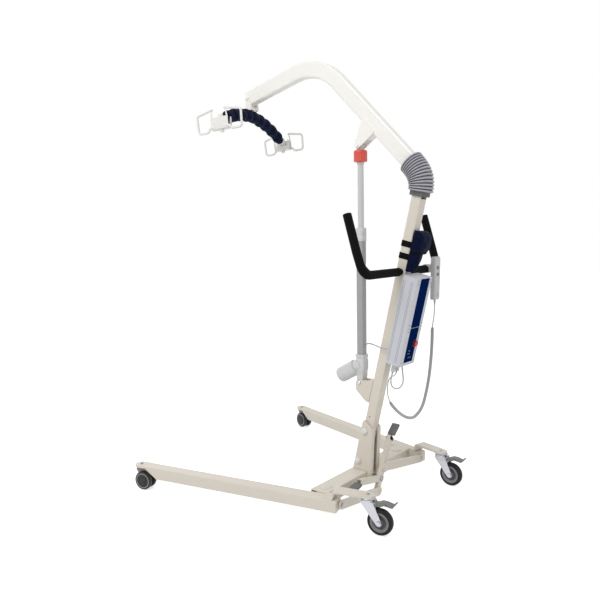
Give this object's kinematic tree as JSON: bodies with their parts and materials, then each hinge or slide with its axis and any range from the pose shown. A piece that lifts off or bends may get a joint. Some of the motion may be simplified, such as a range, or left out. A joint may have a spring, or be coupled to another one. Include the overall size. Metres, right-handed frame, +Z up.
{
  "type": "electric patient lift",
  "caption": "Mobile patient lift: spreading legs on castors, leaning mast, linear actuator, bent boom and padded cradle with sling loops.",
  "frame": {"origin": "centre of the overall bounding box on the floor, measured without the handset's cord", "axes": "+Z up; the legs and the boom point along -Y, the operator stands at +Y; +X is the side away from the handset, which is the operator's left when facing the boom"},
  "size_m": [1.176, 1.1338, 1.8195],
  "materials": {
    "battery_black": "satin",
    "bellows_grey": "satin",
    "board_green": "lacquered",
    "boom_paint": "satin",
    "box_grey": "textured",
    "brake_grey": "moulded",
    "button_dark": "matte",
    "cord_grey": "satin",
    "foam_black": "foam",
    "frame_paint": "satin",
    "handset_grey": "satin",
    "hood_grey": "moulded",
    "hook_white": "satin",
    "housing_grey": "satin",
    "knob_white": "gloss",
    "navy_fabric": "woven",
    "pad_grey": "matte",
    "release_red": "satin",
    "rod_grey": "satin",
    "steel": "turned",
    "twin_wheel": "moulded",
    "tyre": "matte",
    "wheel_core": "moulded",
    "zinc": "zinc plated"
  },
  "bodies": {
    "base": {"crossbeam": "frame_paint", "mast_socket": "frame_paint", "mast": "frame_paint", "mast_bolt_upper": "knob_white", "mast_bolt_lower": "knob_white", "actuator_bracket": "frame_paint", "handlebar": "foam_black", "left_grip": "foam_black", "right_grip": "foam_black", "box_housing": "box_grey", "front_cover": "box_grey", "battery_pack": "battery_black", "control_board": "board_green", "pedal_bolt": "frame_paint", "left_leg_bolt": "frame_paint", "right_leg_bolt": "frame_paint", "bellows": "bellows_grey", "sling_pouch": "navy_fabric", "boom_pin": "zinc", "actuator_pin": "zinc", "handset": "handset_grey", "handset_cord": "cord_grey", "motor_cable": "cord_grey", "box_lead": "cord_grey"},
    "pedal": {"pedal_lever": "frame_paint", "left_pad": "pad_grey", "right_pad": "pad_grey"},
    "boom": {"boom": "boom_paint"},
    "actuator": {"gear_housing": "housing_grey", "motor": "housing_grey", "outer_tube": "housing_grey"},
    "rod": {"actuator_rod": "rod_grey"},
    "release_collar": {"release_collar": "release_red"},
    "hanger": {"hanger": "boom_paint"},
    "cradle": {"spreader_bar": "hook_white", "bar_cover": "navy_fabric"},
    "left_hook_set": {"left_hook_set": "hook_white"},
    "right_hook_set": {"right_hook_set": "hook_white"},
    "stop_button": {"stop_button": "release_red"},
    "button_up": {"button_up": "button_dark"},
    "button_down": {"button_down": "button_dark"},
    "left_leg": {"left_leg": "frame_paint"},
    "left_fork": {"left_fork": "zinc"},
    "left_rear_wheel": {"left_wheel_core": "wheel_core", "left_tyre": "tyre"},
    "left_brake": {"left_brake": "brake_grey"},
    "left_castor": {"left_castor_hood": "hood_grey"},
    "left_front_wheels": {"left_twin_wheels": "twin_wheel"},
    "left_tie_ball": {"left_tie_ball": "steel"},
    "left_tie_link": {"left_tie_link": "frame_paint"},
    "right_leg": {"right_leg": "frame_paint"},
    "right_fork": {"right_fork": "zinc"},
    "right_rear_wheel": {"right_wheel_core": "wheel_core", "right_tyre": "tyre"},
    "right_brake": {"right_brake": "brake_grey"},
    "right_castor": {"right_castor_hood": "hood_grey"},
    "right_front_wheels": {"right_twin_wheels": "twin_wheel"},
    "right_tie_ball": {"right_tie_ball": "steel"},
    "right_tie_link": {"right_tie_link": "frame_paint"}
  },
  "joints": [
    {"name": "left_leg_swing", "type": "hinge", "parent": "base", "child": "left_leg", "pos_m": [0.271, 0.2422, 0], "axis": [0, 0, 1], "range_deg": [-14.77, 0]},
    {"name": "right_leg_swing", "type": "hinge", "parent": "base", "child": "right_leg", "pos_m": [-0.271, 0.2422, 0], "axis": [0, 0, 1], "range_deg": [0, 14.77]},
    {"name": "pedal_swing", "type": "hinge", "parent": "base", "child": "pedal", "pos_m": [0, 0.3222, 0.08], "axis": [0, 1, 0], "range_deg": [-40.01, 0]},
    {"name": "left_tie_rise", "type": "hinge", "parent": "left_leg", "child": "left_tie_ball", "pos_m": [0.31549, 0.34804, 0.081], "axis": [-0.2549, 0.967, 0], "range_deg": [-0.02, 4.43]},
    {"name": "left_tie_turn", "type": "hinge", "parent": "left_tie_ball", "child": "left_tie_link", "pos_m": [0.31549, 0.34804, 0.081], "axis": [-0.1606, -0.0073, 0.987], "range_deg": [-0.02, 11.84]},
    {"name": "left_rear_swivel", "type": "hinge", "parent": "left_leg", "child": "left_fork", "pos_m": [0.29836, 0.45418, 0], "axis": [0, 0, 1], "continuous": true},
    {"name": "left_rear_roll", "type": "hinge", "parent": "left_fork", "child": "left_rear_wheel", "pos_m": [0.28968, 0.50342, 0.05], "axis": [0.9848, 0.1736, 0], "continuous": true},
    {"name": "left_brake_press", "type": "hinge", "parent": "left_fork", "child": "left_brake", "pos_m": [0.29246, 0.48766, 0.114], "axis": [-0.9848, -0.1736, 0], "range_deg": [0, 10]},
    {"name": "left_front_swivel", "type": "hinge", "parent": "left_leg", "child": "left_castor", "pos_m": [0.55942, -0.53598, 0], "axis": [0, 0, 1], "continuous": true},
    {"name": "left_front_roll", "type": "hinge", "parent": "left_castor", "child": "left_front_wheels", "pos_m": [0.55432, -0.51665, 0.04], "axis": [0.967, 0.2549, 0], "continuous": true},
    {"name": "right_tie_rise", "type": "hinge", "parent": "right_leg", "child": "right_tie_ball", "pos_m": [-0.31549, 0.34804, 0.081], "axis": [0.2549, 0.967, 0], "range_deg": [-0.02, 4.28]},
    {"name": "right_tie_turn", "type": "hinge", "parent": "right_tie_ball", "child": "right_tie_link", "pos_m": [-0.31549, 0.34804, 0.081], "axis": [-0.1475, 0.0067, 0.989], "range_deg": [-11.88, 0.02]},
    {"name": "right_rear_swivel", "type": "hinge", "parent": "right_leg", "child": "right_fork", "pos_m": [-0.29836, 0.45418, 0], "axis": [0, 0, 1], "continuous": true},
    {"name": "right_rear_roll", "type": "hinge", "parent": "right_fork", "child": "right_rear_wheel", "pos_m": [-0.29836, 0.50418, 0.05], "axis": [1, 0, 0], "continuous": true},
    {"name": "right_brake_press", "type": "hinge", "parent": "right_fork", "child": "right_brake", "pos_m": [-0.29836, 0.48818, 0.114], "axis": [-1, 0, 0], "range_deg": [0, 10]},
    {"name": "right_front_swivel", "type": "hinge", "parent": "right_leg", "child": "right_castor", "pos_m": [-0.55942, -0.53598, 0], "axis": [0, 0, 1], "continuous": true},
    {"name": "right_front_roll", "type": "hinge", "parent": "right_castor", "child": "right_front_wheels", "pos_m": [-0.55432, -0.51665, 0.04], "axis": [0.967, -0.2549, 0], "continuous": true},
    {"name": "boom_lift", "type": "hinge", "parent": "base", "child": "boom", "pos_m": [0, 0.4852, 1.302], "axis": [1, 0, 0], "range_deg": [0, 48], "deforming": ["bellows"]},
    {"name": "actuator_tilt", "type": "hinge", "parent": "base", "child": "actuator", "pos_m": [0, 0.2292, 0.478], "axis": [1, 0, 0], "range_deg": [0, 3.38]},
    {"name": "rod_slide", "type": "slide", "parent": "actuator", "child": "rod", "axis": [0, -0.0215, 0.9998], "range_m": [-0.25404, 0]},
    {"name": "release_turn", "type": "hinge", "parent": "rod", "child": "release_collar", "pos_m": [0, 0.2292, 0.478], "axis": [0, -0.0215, 0.9998], "continuous": true},
    {"name": "hanger_swing", "type": "hinge", "parent": "boom", "child": "hanger", "pos_m": [0, -0.3908, 1.707], "axis": [1, 0, 0], "range_deg": [-75, 11]},
    {"name": "cradle_turn", "type": "hinge", "parent": "hanger", "child": "cradle", "pos_m": [0, -0.3908, 1.707], "axis": [0, -0.1305, 0.9914], "continuous": true},
    {"name": "left_hook_turn", "type": "hinge", "parent": "cradle", "child": "left_hook_set", "pos_m": [0.29976, -0.28622, 1.57553], "axis": [0, -0.1305, 0.9914], "range_deg": [-20, 20]},
    {"name": "right_hook_turn", "type": "hinge", "parent": "cradle", "child": "right_hook_set", "pos_m": [-0.29976, -0.45779, 1.55294], "axis": [0, -0.1305, 0.9914], "range_deg": [-20, 20]},
    {"name": "stop_press", "type": "slide", "parent": "base", "child": "stop_button", "axis": [0, -0.9779, 0.2091], "range_m": [0, 0.004]},
    {"name": "button_up_press", "type": "slide", "parent": "base", "child": "button_up", "axis": [0, -1, 0], "range_m": [0, 0.0015], "stiffness_N_per_m": 400},
    {"name": "button_down_press", "type": "slide", "parent": "base", "child": "button_down", "axis": [0, -1, 0], "range_m": [0, 0.0015], "stiffness_N_per_m": 400}
  ],
  "couplings": [
    {"joint": "right_leg_swing", "follows": "left_leg_swing", "ratio": -1},
    {"joint": "pedal_swing", "follows": "left_leg_swing", "ratio": 2.708},
    {"joint": "left_tie_rise", "follows": "left_leg_swing", "ratio": -0.29831},
    {"joint": "left_tie_turn", "follows": "left_leg_swing", "ratio": -0.80052},
    {"joint": "right_tie_rise", "follows": "left_leg_swing", "ratio": -0.28819},
    {"joint": "right_tie_turn", "follows": "left_leg_swing", "ratio": 0.80284},
    {"joint": "actuator_tilt", "follows": "boom_lift", "ratio": 0.07},
    {"joint": "rod_slide", "follows": "boom_lift", "m_per_rad": -0.303}
  ]
}
